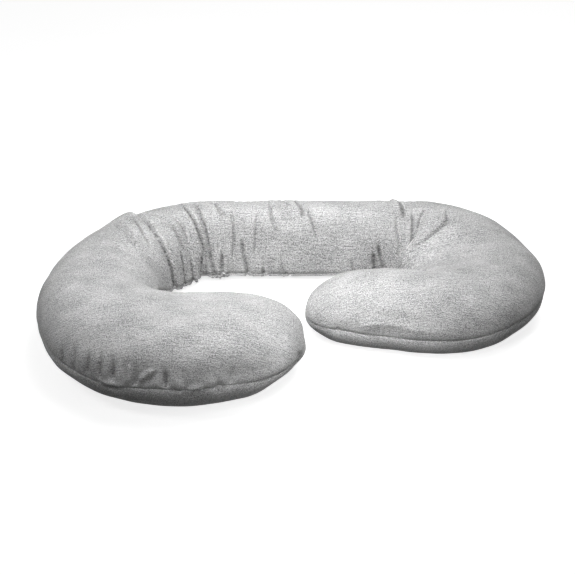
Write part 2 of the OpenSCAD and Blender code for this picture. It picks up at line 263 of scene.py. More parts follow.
# Inner corners that the bends press together: s from, s to, ramp, shift along X (mm)
GATHERED = [(0.50, 0.90, 0.10, 16.0), (1.44, 1.96, 0.11, -78.0)]


def gathered():
    """How far the inner side of each tight bend is pulled along, so that its corner closes up."""
    inner = smoothstep((78 - np.abs(angle_from(PHI, 188))) / 54)
    moved = np.zeros(S.shape + (3,))
    for low, high, ramp, mm in GATHERED:
        moved[..., 0] += window(S, low, high, ramp, ramp) * inner * mm * MM
    return moved


def settled(points):
    normal = grid_normals(points)
    push = 0 * S
    for low, high, ramp_in, ramp_out, middle, half, mm in SETTLED:
        around = np.cos(np.clip(angle_from(PHI, middle) / half, -1, 1) * math.pi / 2) ** 2
        push += window(S, low, high, ramp_in, ramp_out) * around * mm * MM
    away = np.minimum(S, LENGTH - S)
    lumps = 0.9 * waves(points, 0.16) + 0.4 * waves(points, 0.07)
    push += lumps * MM * smoothstep(away / 0.06)
    moved = points + normal * push[..., None]
    for low, high, ramp, middle, mm in SEAM_MOVES:
        around = bell(angle_from(PHI, middle), 27)
        moved[..., 2] += window(S, low, high, ramp, ramp) * around * mm * MM
    around = bell(angle_from(PHI, 205), 34)
    for at, width, mm in HITCHES:
        moved[..., 2] += bell(np.abs(S - at), width * MM, 1) * around * mm * MM
    return moved


# A fold that starts lower than this runs over an arm's front, and fades in slowly (degrees)
LOW_START = 45
# Folds: [(s in mm, angle), ...], depth, widths before and after the fold along the tube, and the heights
# of the ridges there (mm)
FOLDS = [
    # the deep fold where the left shoulder meets the back
    ([(812, 56), (809, 74), (807, 92), (803, 108), (795, 126), (790, 145), (790, 160), (794, 176),
      (796, 200)], 11, 13, 3.6, 0, 2),
    ([(789, 70), (775, 98), (757, 120), (742, 134)], 3.6, 3.4, 3, 1.2, 1.2),
    ([(765, 72), (738, 101), (715, 120)], 3.4, 3.6, 3.2, 1.2, 1.2),
    ([(728, 96), (706, 114), (690, 128)], 3, 4, 3.4, 1, 1),
    ([(674, 100), (650, 118)], 2.6, 4.5, 4, 1, 1),
    ([(834, 92), (846, 112), (858, 134), (868, 156)], 2.8, 4, 3, 1, 1.5),
    ([(868, 100), (880, 122), (892, 148)], 2.6, 4, 3.4, 1, 1.2),
    ([(846, 150), (852, 170), (850, 196)], 3.4, 4, 3.4, 1.5, 1.5),
    # the back's left half
    ([(901, 74), (906, 88), (913, 105), (922, 124), (933, 142), (946, 158), (962, 176)], 6, 3.4, 2.6, 2, 2.5),
    ([(938, 82), (941, 101), (943, 118), (951, 132), (957, 146), (963, 161), (976, 180), (984, 200)],
     6, 4.2, 3, 3, 2),
    ([(976, 80), (983, 92), (992, 107), (1010, 120)], 4.4, 3.2, 2.6, 1.5, 1.5),
    ([(1022, 112), (1026, 130), (1028, 148), (1023, 166)], 5, 2.8, 2.4, 1.5, 2),
    ([(1044, 146), (1049, 158), (1054, 170), (1062, 184), (1068, 204)], 6, 3.4, 2.8, 2, 2.5),
    ([(998, 158), (997, 172), (1001, 186), (1006, 210)], 6.5, 4, 3.4, 3, 2),
    ([(938, 158), (930, 172), (920, 186), (930, 208)], 5, 4.5, 3.6, 2, 2),
    ([(892, 160), (898, 180), (906, 206)], 3.6, 4, 3.6, 2, 2),
    ([(1083, 112), (1079, 138), (1075, 162)], 3, 3.4, 3, 1, 1.2),
    ([(1110, 78), (1112, 98), (1113, 116), (1119, 128), (1130, 142)], 5.8, 2.8, 2.4, 1.5, 1.5),
    ([(1136, 68), (1145, 84), (1157, 100)], 4.6, 2.8, 2.6, 1.5, 1),
    ([(1162, 68), (1172, 86), (1181, 102), (1188, 118)], 6, 2.8, 2.6, 2, 1.5),
    ([(1198, 106), (1205, 120), (1213, 135), (1226, 152)], 4.8, 2.8, 2.4, 1.5, 1),
    ([(1092, 172), (1100, 186), (1108, 206)], 4.2, 3.4, 3, 1.5, 1.5),
    ([(1136, 166), (1148, 180), (1160, 196)], 3.2, 3.4, 3, 1.5, 1),
    # the back's right half and the right shoulder
    ([(1298, 164), (1310, 176), (1327, 194)], 4, 3.2, 3, 1.5, 1.5),
    ([(1350, 160), (1355, 170), (1362, 186)], 7, 4, 3.4, 2, 2),
    ([(1361, 152), (1368, 162), (1381, 176), (1394, 192)], 6, 3.6, 3, 2, 3),
    ([(1402, 66), (1408, 82), (1416, 98), (1421, 122)], 7, 3.4, 2.6, 2.5, 1.5),
    ([(1400, 128), (1408, 146), (1414, 160)], 3, 3.2, 3, 1, 1),
    ([(1440, 112), (1441, 128), (1440, 147), (1434, 163), (1424, 180)], 6, 3.2, 2.8, 2.5, 2),
    ([(1474, 104), (1464, 122), (1458, 138)], 3, 3.4, 3, 1, 1),
    ([(1522, 92), (1538, 108), (1553, 122), (1564, 136), (1570, 150)], 6, 3.6, 3.4, 2.5, 1.5),
    # the left arm: its tip
    ([(52, 40), (46, 20), (36, 2), (42, -14), (66, -26)], 6, 3.6, 3.6, 1.5, 1.5),
    # the left arm: pleats over its front seam
    ([(278, 32), (275, 16), (276, 2)], 9, 7, 6, 2.5, 2.5),
    ([(304, 24), (306, 12), (309, 3)], 7, 4, 4, 1.5, 1.5),
    ([(338, 38), (335, 20), (333, 5)], 9, 6, 6, 2.5, 2.5),
    ([(354, 38), (351, 20), (349, 5)], 7, 4.5, 4.5, 2, 2),
    ([(371, 36), (368, 20), (366, 3)], 8.5, 5, 5.5, 2.5, 2.5),
    ([(392, 34), (389, 16), (387, 0)], 7, 4.5, 4.5, 2, 2),
    ([(412, 24), (409, 10), (408, 0)], 4.5, 4, 4, 1.5, 1.5),
    ([(206, 18), (204, 4), (206, -12)], 6, 6, 6, 1.5, 1.5),
    ([(180, 26), (184, 12), (186, 0)], 4.5, 6, 6, 1.5, 1.5),
    # the right arm's tip
    ([(2186, 4), (2196, 20), (2199, 38)], 3.6, 4, 4, 1, 1),
    ([(2143, 30), (2141, 12), (2140, -8)], 5, 3.6, 3.6, 1.5, 1.5),
]
# Little ridges that stand up from the arms: [(s in mm, angle), ...], height, width (mm)
RIDGES = [
    ([(315, 30), (315, 14), (319, 0)], 8.5, 3.8),
    ([(288, 28), (298, 16), (313, 4)], 7.5, 4.2),
    ([(350, 3), (334, 3), (315, 1)], 6, 3.8),
    ([(254, -4), (245, 2), (228, 0)], 6, 3.8),
    ([(261, 16), (260, 2), (264, -16)], 5.5, 4.6),
    ([(442, -8), (416, -8), (392, -7), (374, -2)], 4, 3.4),
    ([(2100, 12), (2056, 17), (2012, 17), (1960, 13), (1900, 7)], 6, 8),
    ([(778, 72), (760, 101), (738, 122)], 7, 3.4),
    ([(752, 73), (720, 101), (694, 117)], 7, 3.4),
    ([(716, 92), (698, 108), (680, 122)], 4, 3.6),
]


def fine_line(points, count=60):
    """A smooth curve through the fold's points: (s, angle) at even steps."""
    points = np.array(points, float)
    ends = np.concatenate([[2 * points[0] - points[1]], points, [2 * points[-1] - points[-2]]])
    t = np.linspace(0, len(points) - 1, count)
    k = np.minimum(t.astype(int), len(points) - 2)
    f = (t - k)[:, None]
    a, b, c, d = ends[k], ends[k + 1], ends[k + 2], ends[k + 3]
    return 0.5 * (2 * b + (c - a) * f + (2 * a - 5 * b + 4 * c - d) * f**2 + (3 * b - a - 3 * c + d) * f**3)


def on_grid(points, s, degrees):
    """The grid's surface at places along the tube and angles round it."""
    i = np.interp(s, ring_s, np.arange(RINGS))
    j = np.interp(np.radians(degrees) % (2 * math.pi), [0, math.pi, 2 * math.pi], [0, TOP_COLS, COLS])
    row, col = np.minimum(i.astype(int), RINGS - 2), j.astype(int) % COLS
    u, v = (i - row)[:, None], (j - j.astype(int))[:, None]
    near = points[row, col] * (1 - u) + points[row + 1, col] * u
    far = points[row, (col + 1) % COLS] * (1 - u) + points[row + 1, (col + 1) % COLS] * u
    return near * (1 - v) + far * v


def fold_distance(points, normal, line, reach):
    """For the grid's points near the line: which they are, how far, on which side, and how far along."""
    path = fine_line(line)
    on = on_grid(points, path[:, 0] * MM, path[:, 1])
    near = np.all((points > on.min(0) - reach) & (points < on.max(0) + reach), -1)
    spots = points[near]
    offset = spots[:, None] - on[None]
    distance = np.linalg.norm(offset, axis=-1)
    k = distance.argmin(1)
    tangent = np.gradient(on, axis=0)[k]
    beside = np.cross(normal[near], tangent)
    beside /= np.maximum(np.linalg.norm(beside, axis=1, keepdims=True), 1e-12)
    across = (offset[np.arange(len(k)), k] * beside).sum(1)
    heading = heading_at(S[near])
    forward = np.stack([np.cos(heading), np.sin(heading), 0 * heading], -1)
    across *= np.sign((beside * forward).sum(1) + 1e-9)
    return near, distance[np.arange(len(k)), k], across, k / (len(on) - 1)


def folded(points):
    normal = grid_normals(points)
    push = 0 * S
    for line, depth, before, after, ridge_before, ridge_after in FOLDS:
        widest = max(before, after) * MM
        near, distance, across, along = fold_distance(points, normal, line, 5 * widest)
        width = np.where(across < 0, before, after) * MM
        ridge = np.where(across < 0, ridge_before, ridge_after)
        fade = 0.6 if line[0][1] < LOW_START else 0.22
        ends = window(along, 0, 1, fade, 0.22)
        valley = -depth * bell(distance, width, 1.25)
        beside = ridge * bell(distance - 2.3 * width, 1.1 * width)
        push[near] += (valley + beside) * ends * MM
    for line, height, width in RIDGES:
        near, distance, across, along = fold_distance(points, normal, line, 5 * width * MM)
        ends = window(along, 0, 1, 0.15, 0.5)
        sharp = bell(distance, width * MM, 1.3)
        trough = bell(distance - 2.4 * width * MM, 1.3 * width * MM)
        push[near] += (height * sharp - 0.35 * height * trough) * ends * MM
    return points + normal * push[..., None]


def sharpened(points):
    """The folds' own thin lines, where the fabric closes on itself, and the ridges' thin crests."""
    normal = grid_normals(points)
    push = 0 * S
    for line, depth, before, after, _, _ in FOLDS:
        width = (1.2 + 0.30 * min(before, after)) * MM
        near, distance, _, along = fold_distance(points, normal, line, 5 * width)
        fade = 0.7 if line[0][1] < LOW_START else 0.15
        ends = window(along, 0, 1, fade, 0.15)
        push[near] -= 1.2 * min(depth, 8) * bell(distance, width, 1) * ends * MM
    for line, height, width in RIDGES:
        near, distance, _, along = fold_distance(points, normal, line, 8 * MM)
        ends = window(along, 0, 1, 0.25, 0.4)
        push[near] += 0.3 * min(height, 6) * bell(distance, 1.9 * MM, 1) * ends * MM
    return points + normal * push[..., None]


def seam_profile(points):
    """The seam pulls the cover in, and the cover puffs a little on both sides of it."""
    normal = grid_normals(points)
    for j in (0, TOP_COLS):
        away = np.linalg.norm(points - points[:, j : j + 1], axis=-1)
        groove = -1.0 * bell(away, 2.6 * MM, 1.2)
        groove += 0.5 * bell(away - 9 * MM, 6 * MM)
        ends = smoothstep(np.minimum(S, LENGTH - S) / 0.03)
        points = points + normal * (groove * ends * MM)[..., None]
    return points


def steps_to(points, axis):
    ahead = np.roll(points, -1, axis) - points
    return np.linalg.norm(ahead, axis=-1)


def relaxed(points, spare_along):
    """Cloth: every thread keeps its cut length, bending resists, and the filling holds it up."""
    base = points.copy()
    normal = grid_normals(base)
    rest_along = (steps_to(base, 0) * (1 + spare_along))[:-1]
    rest_round = steps_to(base, 1) * (1 + SPARE_ROUND)
    free = np.ones((RINGS, COLS, 1))
    free[:4] = free[-4:] = 0
    free[:, 0] = free[:, TOP_COLS] = 0
    ready = smoothstep(np.minimum(S, LENGTH - S) / 0.05)
    points = base + normal * (waves(base, 0.022) * CLOTH_SEED * MM * ready)[..., None] * free
    low, high = -7 * MM, 4 * MM

    def pull(a, b, rest, wa, wb, strength=0.75):
        gap = b - a
        size = np.linalg.norm(gap, axis=-1)
        share = strength * (size - rest) / np.maximum(size, 1e-9) / np.maximum(wa + wb, 1e-9)[..., 0]
        change = gap * share[..., None]
        return a + change * wa, b - change * wb

    for _ in range(CLOTH_STEPS):
        for p in (0, 1):
            n = (RINGS - p) // 2 * 2
            a, b = slice(p, p + n, 2), slice(p + 1, p + n, 2)
            points[a], points[b] = pull(points[a], points[b], rest_along[a], free[a], free[b])
        for p in (0, 1):
            turned = np.roll(points, -p, 1)
            weight, rest = np.roll(free, -p, 1), np.roll(rest_round, -p, 1)
            a, b = pull(turned[:, 0::2], turned[:, 1::2], rest[:, 0::2], weight[:, 0::2], weight[:, 1::2])
            turned[:, 0::2], turned[:, 1::2] = a, b
            points = np.roll(turned, p, 1)
        moved = points - base
        lap = np.zeros_like(moved)
        lap[1:-1] = moved[2:] + moved[:-2] - 2 * moved[1:-1]
        lap += np.roll(moved, 1, 1) + np.roll(moved, -1, 1) - 2 * moved
        bend = np.zeros_like(moved)
        bend[1:-1] = lap[2:] + lap[:-2] - 2 * lap[1:-1]
        bend += np.roll(lap, 1, 1) + np.roll(lap, -1, 1) - 2 * lap
        moved -= 0.012 * bend * free
        height = (moved * normal).sum(-1)
        slide = moved - normal * height[..., None]
        height = np.clip(height * 0.998 + 0.012 * MM * free[..., 0], low, high)
        points = base + slide * 0.995 + normal * height[..., None]
    points[..., 2] = np.maximum(points[..., 2], 0)
    return points


def spare_lengths():
    """How much longer than the tube the cloth was cut, along it."""
    inner = smoothstep((-np.cos(PHI) + 0.2) / 0.6)
    back = window(S, 0.86, 1.50, 0.06, 0.06)
    along = 0.012 + 0.030 * window(S, 0.84, 1.26, 0.08, 0.08) + 0.018 * window(S, 1.20, 1.50, 0.08, 0.08)
    along += 0.045 * inner * (window(S, 0.66, 0.92, 0.06, 0.06) + window(S, 1.36, 1.60, 0.06, 0.06))
    along += 0.012 * inner * back
    outer, inner = (bell(angle_from(PHI, seam), 16) for seam in (0, 180))
    along += 0.030 * (outer + 0.2 * inner) * (1 - 0.7 * zip_part(S))
    return along


plain = surface(S, PHI)
corner_shift = gathered()
shaped = settled(plain + corner_shift)
creased = seam_profile(folded(shaped))
creased[..., 2] = np.maximum(creased[..., 2], 0)
cover = sharpened(relaxed(creased, spare_lengths()))
cover[..., 2] = np.maximum(cover[..., 2], 0)


# ---------------------------------------------------------------- flat pattern, for the fabric's run
def run_across(grid, start):
    """The length of cloth from the start column to each column."""
    step = np.linalg.norm(np.diff(grid, axis=1), axis=-1)
    run = np.concatenate([np.zeros((RINGS, 1)), np.cumsum(step, 1)], 1)
    return run - run[:, start : start + 1]


def flat_pattern():
    """Where each point lay in the flat jersey, in metres: across the tube it is unrolled from the crest."""
    crest = np.argmin(np.abs(np.degrees(top_phi) - 90))
    top = -run_across(plain[:, : TOP_COLS + 1], crest)
    low = run_across(np.concatenate([plain[:, TOP_COLS:], plain[:, :1]], 1), LOW_COLS // 2)
    k, _ = stretch_of(ring_s)
    bend = RUN[k] / np.maximum(np.abs(TURN[k]), 0.05)
    centre, out = centre_at(ring_s), outward(ring_s)[:, :2]
    laid = []
    for across in (top, low):
        limit = 0.9 * bend[:, None]
        across = np.where(across < 0, np.maximum(across, -limit), across)
        laid.append(centre[:, None] + out[:, None] * across[..., None])
    return laid


top_uv, low_uv = flat_pattern()


# ---------------------------------------------------------------- meshes
def make_mesh(name, points, faces, uv=None, smooth=True):
    mesh = bpy.data.meshes.new(name)
    points = np.asarray(points, float)
    sizes = np.array([len(f) for f in faces], int)
    mesh.vertices.add(len(points))
    mesh.vertices.foreach_set("co", points.astype(np.float32).ravel())
    loops = np.fromiter((v for f in faces for v in f), int, int(sizes.sum()))
    mesh.loops.add(len(loops))
    mesh.loops.foreach_set("vertex_index", loops)
    mesh.polygons.add(len(sizes))
    mesh.polygons.foreach_set("loop_start", np.concatenate([[0], np.cumsum(sizes)[:-1]]))
    if smooth:
        mesh.polygons.foreach_set("use_smooth", np.ones(len(sizes), bool))
    mesh.update(calc_edges=True)
    if uv is not None:
        layer = mesh.uv_layers.new(name="flat")
        layer.data.foreach_set("uv", np.asarray(uv, np.float32)[loops].ravel())
    mesh.validate()
    piece = bpy.data.objects.new(name, mesh)
    bpy.context.scene.collection.objects.link(piece)
    return piece


def grid_faces(rings, cols, closed=False, first=0):
    """Quads of a grid of rings by columns."""
    i, j = np.meshgrid(np.arange(rings - 1), np.arange(cols if closed else cols - 1), indexing="ij")
    a = first + i * cols + j
    b = first + i * cols + (j + 1) % cols
    return np.stack([a, a + cols, b + cols, b], -1).reshape(-1, 4)


def tipped_sheet(name, grid, uv, closed=False, flip=False):
    """A grid whose first and last rings are one point each."""
    rings, cols = grid.shape[:2]
    inner = grid[1:-1].reshape(-1, 3)
    points = np.concatenate([[grid[0].mean(0)], inner, [grid[-1].mean(0)]])
    flat = np.concatenate([[uv[0].mean(0)], uv[1:-1].reshape(-1, 2), [uv[-1].mean(0)]])
    quads = [list(f) for f in grid_faces(rings - 2, cols, closed, 1)]
    last = len(points) - 1
    cells = cols if closed else cols - 1
    fans = [[0, 1 + j, 1 + (j + 1) % cols] for j in range(cells)]
    start = 1 + (rings - 3) * cols
    fans += [[last, start + (j + 1) % cols, start + j] for j in range(cells)]
    faces = [f[::-1] if flip else f for f in quads + fans]
    return make_mesh(name, points, faces, flat)


def edge_room():
    """How far a seam allowance may turn in: less where the tips round off."""
    reach = smooth_value(HALF_W, ring_s) * rounding(np.minimum(ring_s, LENGTH - ring_s), CAP)
    return np.minimum(ALLOWANCE, 0.4 * reach)[:, None]


def panel_grid(half):
    """One panel with its seam allowances turned in, and its edge rolled in over the zip."""
    up = np.array([0.0, 0.0, float(half)])
    out = outward(ring_s)
    part = zip_part(ring_s)[:, None]
    if half > 0:
        grid, phi, uv = cover[:, : TOP_COLS + 1].copy(), top_phi, top_uv
    else:
        grid = np.concatenate([cover[:, TOP_COLS:], cover[:, :1]], 1)
        phi, uv = low_phi, low_uv
    near = np.clip(1 - np.abs(angle_from(phi, 0)) / 13.0, 0, 1)[None]
    grid -= out[:, None] * (ZIP_DIP * near**2 * part)[..., None]
    grid += up * ((ZIP_EDGE - SEAM_GAP) * near * part)[..., None]
    outer, inner = (0, -1) if half > 0 else (-1, 0)
    grid[:, [outer, inner]] += up * SEAM_GAP
    room = edge_room()
    edges = {}
    for col, way, zipped in ((outer, -out, part), (inner, out, 0 * part)):
        near_in = room * 0.35 * (1 - zipped) + 1.2 * MM * zipped
        far_in = room * (1 - zipped) + 1.3 * MM * zipped
        first = grid[:, col] + way * near_in + up * (0.6 * MM * zipped)
        second = grid[:, col] + way * far_in + up * (6.0 * MM * zipped)
        edges[col] = [first, second]
    full = np.stack([edges[0][1], edges[0][0], *grid.transpose(1, 0, 2), *edges[-1]], 1)
    step = 3 * MM
    before, after = [uv[:, 0] + 2 * step, uv[:, 0] + step], [uv[:, -1] + step, uv[:, -1] + 2 * step]
    return full, np.stack([*before, *uv.transpose(1, 0, 2), *after], 1)


def solid(piece, thickness, offset=-1):
    shell = piece.modifiers.new("thickness", "SOLIDIFY")
    shell.thickness = thickness
    shell.offset = offset
    return piece


def pillow_piece(piece, slot, *nodes, body="pillow"):
    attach(piece, body)
    if nodes:
        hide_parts(*nodes)
    return piece


panels = {}
for half, node in ((1, "cover_top_panel"), (-1, "cover_bottom_panel")):
    grid, uv = panel_grid(half)
    panel = tipped_sheet("jersey_" + node, grid, uv, flip=True)
    solid(panel, COVER_T)
    panels[half] = pillow_piece(panel, "cover_jersey", node)


# ---------------------------------------------------------------- inner case and filling
def eroded(push, turns):
    """The lowest push nearby, so that a layer below clears every valley."""
    for _ in range(turns):
        push = np.minimum(push, np.minimum(np.roll(push, 1, 1), np.roll(push, -1, 1)))
        wide = np.concatenate([push[:1], push, push[-1:]])
        push = np.minimum(push, np.minimum(wide[:-2], wide[2:]))
    return push


def blurred(push, turns):
    for _ in range(turns):
        wide = np.concatenate([push[:1], push, push[-1:]])
        push = (2 * push + wide[:-2] + wide[2:] + np.roll(push, 1, 1) + np.roll(push, -1, 1)) / 6
    return push


plain_normal = grid_normals(plain)
cover_push = ((cover - plain - corner_shift) * plain_normal).sum(-1)
under_push = blurred(eroded(cover_push, 3), 8) - 0.6 * MM


def layer(side, up, ring_step, col_step):
    """A layer inside the cover: the tube moved in, and pressed down where the cover is."""
    grid = surface(S, PHI, side * MM, up * MM) + corner_shift
    grid += plain_normal * np.minimum(under_push, 1.5 * MM)[..., None]
    grid[..., 2] = np.clip(grid[..., 2], up * MM, None)
    inside = np.minimum(S, LENGTH - S)[:, 0]
    rings = [i for i in range(1, RINGS - 1) if inside[i] > (side + 2) * MM][::ring_step]
    tips = centre_at(np.array([side * MM, LENGTH - side * MM]))
    seam = SEAM_SHARE * smooth_value(HEIGHT, np.array([side * MM, LENGTH - side * MM]))
    ends = [np.tile([*tips[k], seam[k]], (1, COLS, 1)) for k in (0, 1)]
    grid = np.concatenate([ends[0], grid[rings], ends[1]])
    return grid[:, ::col_step], [0, *rings, RINGS - 1]


case_grid, case_rings = layer(9.5, 1.6, 2, 1)
for half, node, cols in (
    (1, "case_top_panel", np.arange(TOP_COLS + 1)),
    (-1, "case_bottom_panel", np.concatenate([np.arange(TOP_COLS, COLS), [0]])),
):
    uv = (top_uv if half > 0 else low_uv)[case_rings]
    part = case_grid[:, cols].copy()
    part[:, [0, -1], 2] += half * 0.35 * MM
    case_panel = solid(tipped_sheet("cotton_" + node, part, uv, flip=True), CASE_T)
    panels[node] = pillow_piece(case_panel, "case_cotton", node)

bead_grid, bead_rings = layer(10.5, 2.6, 2, 2)
bead_uv = np.concatenate([top_uv[:, :-1], low_uv[:, :-1]], 1)[bead_rings][:, ::2]
filling = tipped_sheet("loose_bead_filling", bead_grid, bead_uv, closed=True, flip=True)
pillow_piece(filling, "bead_fill", "bead_filling")


# ---------------------------------------------------------------- threads and stitches
def tube(name, path, radius, sides=6, closed=False):
    """A thin round tube along a path of close points."""
    path = np.asarray(path, float)
    ahead = np.roll(path, -1, 0) - np.roll(path, 1, 0)
    if not closed:
        ahead[0], ahead[-1] = path[1] - path[0], path[-1] - path[-2]
    ahead /= np.linalg.norm(ahead, axis=1, keepdims=True)
    helper = np.where(np.abs(ahead[:, 2:]) > 0.8, [[1.0, 0.0, 0.0]], [[0.0, 0.0, 1.0]])
    side = np.cross(ahead, helper)
    side /= np.linalg.norm(side, axis=1, keepdims=True)
    top = np.cross(side, ahead)
    turn = np.linspace(0, 2 * math.pi, sides, endpoint=False)
    ring = side[:, None] * np.cos(turn)[:, None] + top[:, None] * np.sin(turn)[:, None]
    points = (path[:, None] + ring * np.broadcast_to(radius, len(path))[:, None, None]).reshape(-1, 3)
    count = len(path)
    rows = np.arange(count + closed) % count
    i, j = np.meshgrid(np.arange(len(rows) - 1), np.arange(sides), indexing="ij")
    a, b = rows[i] * sides + j, rows[i] * sides + (j + 1) % sides
    c, d = rows[i + 1] * sides + (j + 1) % sides, rows[i + 1] * sides + j
    faces = [list(f) for f in np.stack([a, d, c, b], -1).reshape(-1, 4)]
    if not closed:
        faces += [list(range(sides)), list(range(len(points) - 1, len(points) - 1 - sides, -1))]
    return make_mesh(name, points, faces)


def run_along(path):
    """The length along the path up to each of its points."""
    return np.concatenate([[0], np.cumsum(np.linalg.norm(np.diff(path, axis=0), axis=1))])


def points_at(path, at):
    run = run_along(path)
    return np.stack([np.interp(at, run, path[:, k]) for k in range(3)], -1)


def even_steps(path, step, closed=False):
    """The path again, with points at even steps."""
    if closed:
        path = np.concatenate([path, path[:1]])
    length = run_along(path)[-1]
    return points_at(path, np.linspace(0, length, max(4, round(length / step)), endpoint=not closed))


def joined(name, pieces):
    bpy.ops.object.select_all(action="DESELECT")
    for piece in pieces:
        piece.select_set(True)
    bpy.context.view_layer.objects.active = pieces[0]
    bpy.ops.object.join()
    pieces[0].name = pieces[0].data.name = name
    return pieces[0]


def seam_path(grid, rings, inset, skips_zip):
    """The seam's line: right of the zip, round the right tip, the inner seam, round the left tip."""
    s = ring_s[rings]
    out = outward(s)
    outside = grid[:, 0] - out * inset
    inside = grid[:, TOP_COLS] + out * inset
    gap = ZIP_HALF + ZIP_RAMP - 1 * MM if skips_zip else 0
    after, before = s > BACK_MID + gap, s <= BACK_MID - gap
    keep = slice(2, -2)
    right, left = outside[keep][after[keep]], outside[keep][before[keep]]
    return np.concatenate([right, [grid[-1, 0]], inside[keep][::-1], [grid[0, 0]], left])


def loose_stitches(path, pitch, height):
    """The same path, rising and falling once a stitch as a locked thread does."""
    path = even_steps(path, pitch / 4)
    phase = np.arange(len(path)) * math.pi / 2
    path[:, 2] += height * np.sin(phase)
    return path


cover_path = seam_path(cover, np.arange(RINGS), 1.1 * MM, True)
thread = tube("cover_seam_stitching", loose_stitches(cover_path, 3.2 * MM, 0.22 * MM), 0.3 * MM)
pillow_piece(thread, "sewing_thread", "cover_seam_thread")
case_path = even_steps(seam_path(case_grid, case_rings, 0.4 * MM, False), 4 * MM, True)
case_thread = tube("case_seam_stitching", case_path, 0.25 * MM, 5, True)
pillow_piece(case_thread, "sewing_thread", "case_seam_thread")


def on_panel(half, s, column):
    """Points of a panel's outer face, at places along the tube. The column counts from the outer edge."""
    grid, _ = panel_grid(half)
    k = 2 + column if half > 0 else grid.shape[1] - 3 - column
    low = math.floor(k)
    line = grid[:, low] * (1 - (k - low)) + grid[:, low + 1] * (k - low)
    return np.stack([np.interp(s, ring_s, line[:, a]) for a in range(3)], -1)


def stitch_row(name, path, normal, pitch=3.4 * MM, gap=0.7 * MM):
    """Separate stitches along a line, each a short thread that dives in at both ends."""
    rise = np.array([-0.35, 0.1, 0.26, 0.26, 0.1, -0.35]) * MM
    made = []
    for start in np.arange(0, run_along(path)[-1] - pitch, pitch):
        spots = points_at(path, start + np.linspace(0, pitch - gap, len(rise)))
        made.append(tube(name, spots + normal * rise[:, None], 0.22 * MM))
    return made


back = np.array([0.0, 1.0, 0.0])
zip_s = np.linspace(BACK_MID - ZIP_HALF - 4 * MM, BACK_MID + ZIP_HALF + 4 * MM, 240)
stitches = []
for half, column in ((1, 3.6), (-1, 2.4)):
    stitches += stitch_row("stitch", on_panel(half, zip_s, column), back)
for end in (zip_s[0], zip_s[-1]):
    for turn in (-1, 0, 1):
        at = np.array([end + turn * 0.8 * MM])
        top, low = on_panel(1, at, 3.0)[0], on_panel(-1, at, 2.0)[0]
        bar = top + (low - top) * np.linspace(0, 1, 14)[:, None]
        stitches += [tube("stitch", bar + back * 0.4 * MM, 0.25 * MM)]
pillow_piece(joined("zip_topstitching", stitches), "sewing_thread")


# ---------------------------------------------------------------- zip coils, tapes and metal
def coil(node):
    """A coil of nylon wire that fills the node's long box."""
    low, high = (np.array(c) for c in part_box(node))
    wire = 0.3 * MM
    middle, half = (low + high) / 2, (high - low) / 2 - wire
    pitch, per_turn = 1.3 * MM, 14
    turns = round((high[0] - low[0] - 2 * wire) / pitch)
    t = np.arange(turns * per_turn + 1) / per_turn
    x = low[0] + wire + t * (high[0] - low[0] - 2 * wire) / turns
    y = middle[1] + half[1] * np.sin(2 * math.pi * t)
    z = middle[2] + half[2] * np.cos(2 * math.pi * t) ** 3 * 0.35 + half[2] * np.cos(2 * math.pi * t) * 0.65
    made = tube("nylon_" + node, np.stack([x, y, z], -1), wire, 5)
    return pillow_piece(made, "zip_coil", node)


for node in ("zip_upper_coil", "zip_lower_coil"):
    coil(node)

for node, width in (
    ("zip_slider", 0.22), ("zip_pull_tab", 0.2), ("zip_top_stops", 0.2), ("zip_bottom_stop", 0.2),
    ("zip_upper_tape", 0.1), ("zip_lower_tape", 0.1),
):
    bevel = frame["nodes"][node].modifiers.new("worn_edges", "BEVEL")
    bevel.width = width * MM
    bevel.segments = 2
    bevel.limit_method = "ANGLE"
    bevel.harden_normals = False


# ---------------------------------------------------------------- care label
def cover_reach(x_low, x_high, heights):
    """How far back the lower panel bulges at those heights, at most, between two places along X."""
    grid, _ = panel_grid(-1)
    sides = grid[:, -20:-2]
    x, on_back = sides[:, -1, 0], np.abs(ring_s - BACK_MID) < ZIP_HALF * 1.4
    near = (x > x_low) & (x < x_high) & on_back
    return np.max([np.interp(heights, side[:, 2], side[:, 1]) for side in sides[near]], 0)


